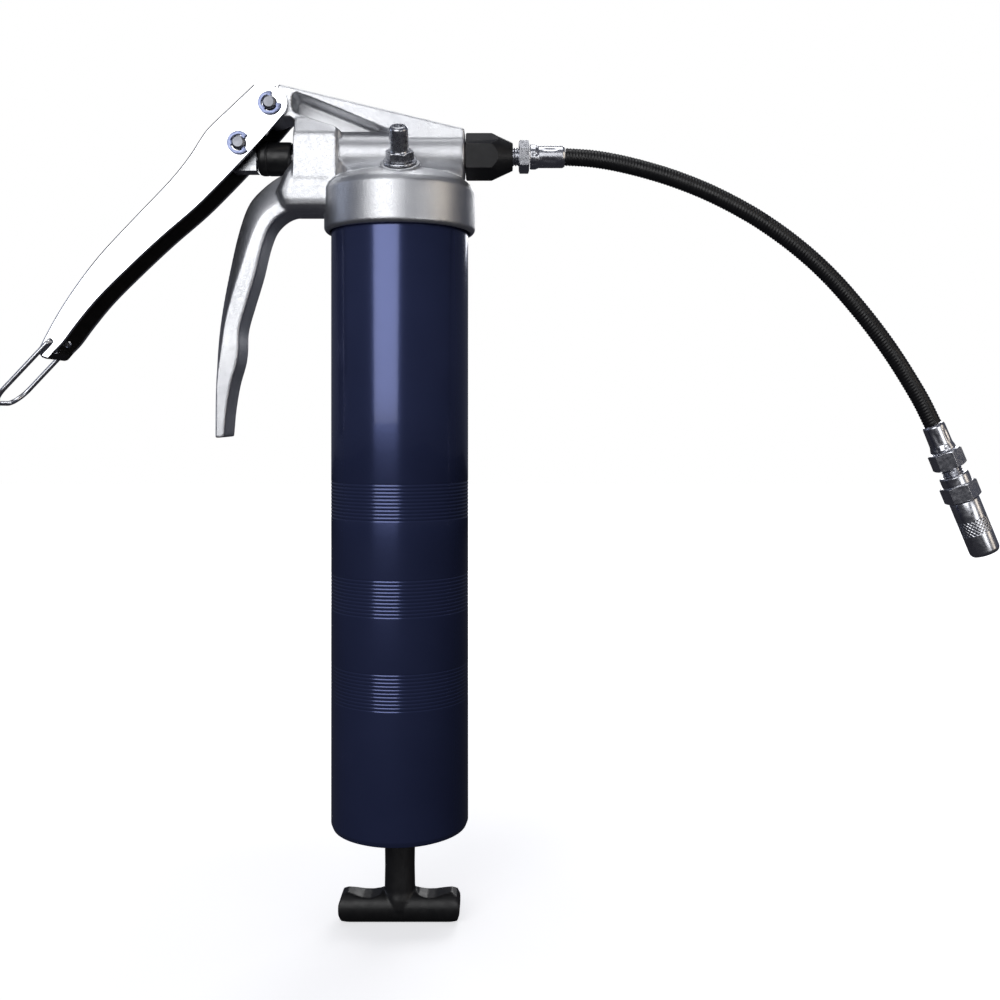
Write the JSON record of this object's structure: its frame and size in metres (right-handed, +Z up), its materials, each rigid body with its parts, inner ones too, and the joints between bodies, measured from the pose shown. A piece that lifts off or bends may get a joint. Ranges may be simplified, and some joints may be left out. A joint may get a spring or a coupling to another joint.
{
  "type": "lever grease gun",
  "caption": "Hand-lever grease gun: cast head with fixed grip, chromed lever with lock loop, blue screw-in barrel with T-handle follower, and a short hose with coupler.",
  "frame": {"origin": "middle of the fixed grip, where a hand holds the gun", "axes": "+Z up along the barrel towards the head, +X from the lever towards the hose, +Y away from the pin clips and the bleeder"},
  "size_m": [0.4172, 0.0648, 0.3487],
  "materials": {
    "cast_aluminium": "as-cast satin with a fine sand-like grain",
    "blue_paint": "glossy dark navy enamel",
    "lever_chrome": "bright chrome plate over pressed steel",
    "zinc_plate": "bright zinc plate",
    "steel": "plain bright steel",
    "clip_steel": "blued spring steel",
    "black_finish": "satin black oxide",
    "black_plastic": "moulded satin black",
    "black_rubber": "satin black rubber"
  },
  "bodies": {
    "head": {"head_casting": "cast_aluminium", "barrel_gasket": "black_rubber", "plunger_seal": "black_rubber", "gland_washer": "steel", "check_spring": "steel", "bleeder_washer": "zinc_plate", "bleeder_body": "zinc_plate", "bleeder_spring": "steel", "bleeder_retainer": "steel", "outlet_nut": "black_finish", "hose_nipple": "zinc_plate", "hose_ferrule": "zinc_plate", "hose": "black_rubber", "end_ferrule": "zinc_plate", "end_nipple": "zinc_plate", "coupler_body": "zinc_plate", "coupler_spring": "steel", "coupler_seal": "black_rubber", "coupler_jaw_1": "zinc_plate", "coupler_jaw_2": "zinc_plate", "coupler_jaw_3": "zinc_plate"},
    "lever_arm": {"lever": "lever_chrome", "pivot_pin": "zinc_plate", "pivot_clip": "clip_steel", "plunger_pin": "zinc_plate", "plunger_clip": "clip_steel"},
    "lock_loop": {"lock_loop": "zinc_plate"},
    "plunger": {"plunger_rod": "steel", "plunger_boot": "black_rubber", "plunger_return_spring": "steel"},
    "bleeder_pin": {"bleeder_pin": "steel"},
    "outlet_ball": {"check_ball": "steel"},
    "barrel": {"barrel_tube": "blue_paint", "barrel_end_cap": "blue_paint", "rod_bushing": "black_plastic", "follower_spring": "steel"},
    "follower": {"follower_cup": "black_rubber", "follower_plate_upper": "steel", "follower_plate_lower": "steel"},
    "rod": {"follower_rod": "steel", "follower_nut": "steel", "t_handle": "black_plastic"},
    "coupler_sleeve": {"coupler_sleeve": "zinc_plate"},
    "coupler_ball": {"coupler_ball": "steel"}
  },
  "joints": [
    {"name": "lever_pivot", "type": "hinge", "parent": "head", "child": "lever_arm", "pos_m": [0.0187, 0, 0.0996], "axis": [0, -1, 0], "range_deg": [0, 18.5], "stiffness_Nm_per_rad": 1.5, "springref_deg": -28.65},
    {"name": "plunger_slide", "type": "slide", "parent": "head", "child": "plunger", "axis": [1, 0, 0], "range_m": [0, 0.006], "deforming": ["plunger_return_spring"]},
    {"name": "lock_loop_swing", "type": "hinge", "parent": "lever_arm", "child": "lock_loop", "pos_m": [-0.0712, 0, 0.0021], "axis": [0, -1, 0], "range_deg": [-60, 80]},
    {"name": "bleeder_press", "type": "slide", "parent": "head", "child": "bleeder_pin", "axis": [0, 0.5299, -0.848], "range_m": [0, 0.0015], "stiffness_N_per_m": 400, "springref_m": -0.003, "deforming": ["bleeder_spring"]},
    {"name": "outlet_ball_lift", "type": "slide", "parent": "head", "child": "outlet_ball", "axis": [1, 0, 0], "range_m": [0, 0.0015], "stiffness_N_per_m": 300, "springref_m": -0.002, "deforming": ["check_spring"]},
    {"name": "barrel_turn", "type": "hinge", "parent": "head", "child": "barrel", "pos_m": [0.071, 0, 0.05], "axis": [0, 0, 1], "range_deg": [0, 720]},
    {"name": "follower_slide", "type": "slide", "parent": "barrel", "child": "follower", "axis": [0, 0, -1], "range_m": [0, 0.19], "stiffness_N_per_m": 200, "springref_m": -0.06, "deforming": ["follower_spring"]},
    {"name": "rod_turn", "type": "hinge", "parent": "follower", "child": "rod", "pos_m": [0.071, 0, -0.23], "axis": [0, 0, 1], "continuous": true},
    {"name": "sleeve_turn", "type": "hinge", "parent": "head", "child": "coupler_sleeve", "pos_m": [0.2939, 0, -0.0318], "axis": [0.3811, 0, -0.9245], "range_deg": [0, 720]},
    {"name": "coupler_ball_lift", "type": "slide", "parent": "head", "child": "coupler_ball", "axis": [0.3811, 0, -0.9245], "range_m": [0, 0.0015], "stiffness_N_per_m": 300, "springref_m": -0.002, "deforming": ["coupler_spring"]}
  ],
  "couplings": [
    {"joint": "plunger_slide", "follows": "lever_pivot", "m_per_rad": 0.018}
  ]
}
